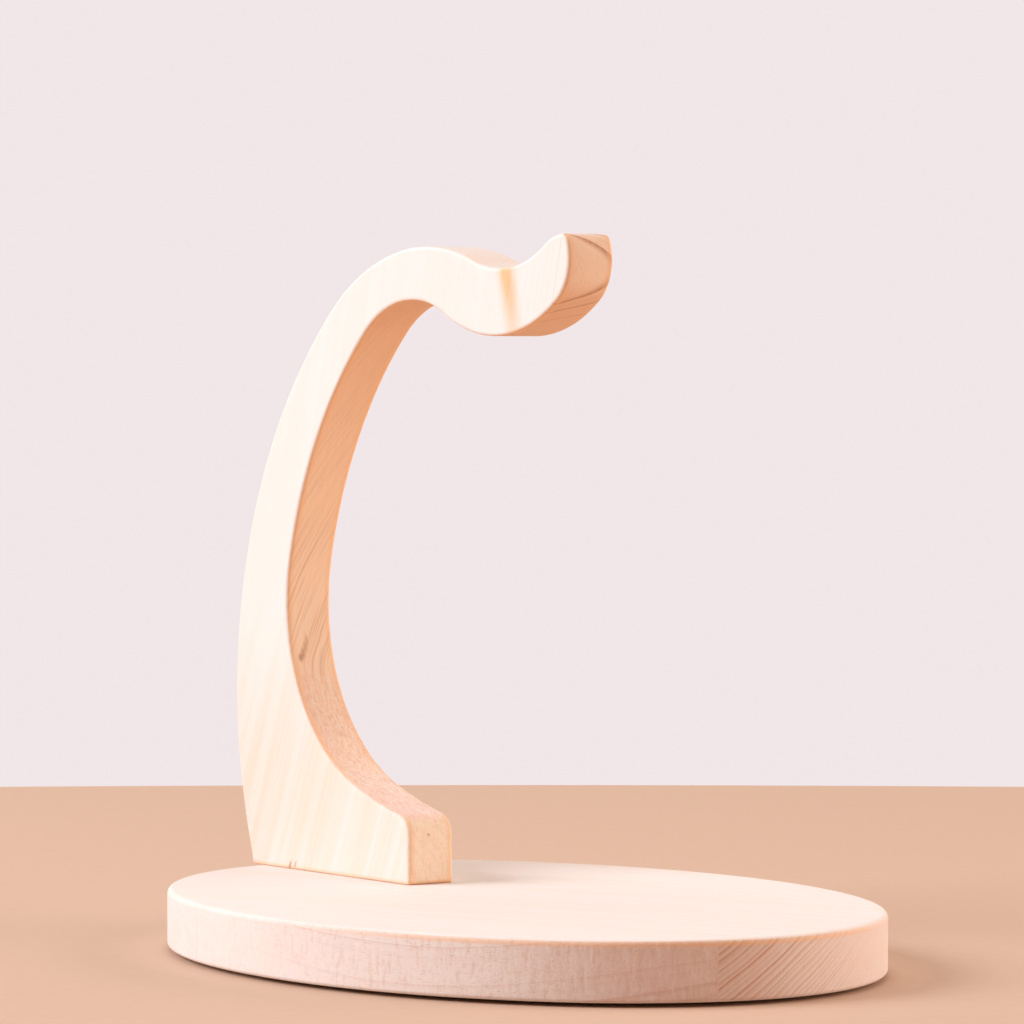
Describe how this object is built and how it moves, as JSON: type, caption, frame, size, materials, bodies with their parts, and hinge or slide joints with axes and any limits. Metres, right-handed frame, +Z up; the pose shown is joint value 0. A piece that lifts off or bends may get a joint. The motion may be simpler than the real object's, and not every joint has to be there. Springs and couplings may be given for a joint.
{
  "type": "eyeglass display stand",
  "caption": "Tabletop wooden stand for one pair of glasses: a flat oval base and a curved hooked arm with a dip for the bridge.",
  "frame": {"origin": "on the surface that the stand rests on, under the middle of its overall length and width", "axes": "+Z up; +X along the oval's long axis, the way the hook points; +Y to the left, square to the arm's flat sides"},
  "size_m": [0.1317, 0.09, 0.1039],
  "materials": {
    "base_wood": "pale unfinished hardwood, sanded",
    "arm_wood": "pale unfinished hardwood, sanded",
    "screw_steel": "zinc plated",
    "pad_felt": "thin pressed felt"
  },
  "bodies": {
    "root": {"base_plate": "base_wood", "support_arm": "arm_wood", "front_screw": "screw_steel", "rear_screw": "screw_steel", "foot_pad_front_left": "pad_felt", "foot_pad_front_right": "pad_felt", "foot_pad_rear_left": "pad_felt", "foot_pad_rear_right": "pad_felt"}
  },
  "joints": []
}
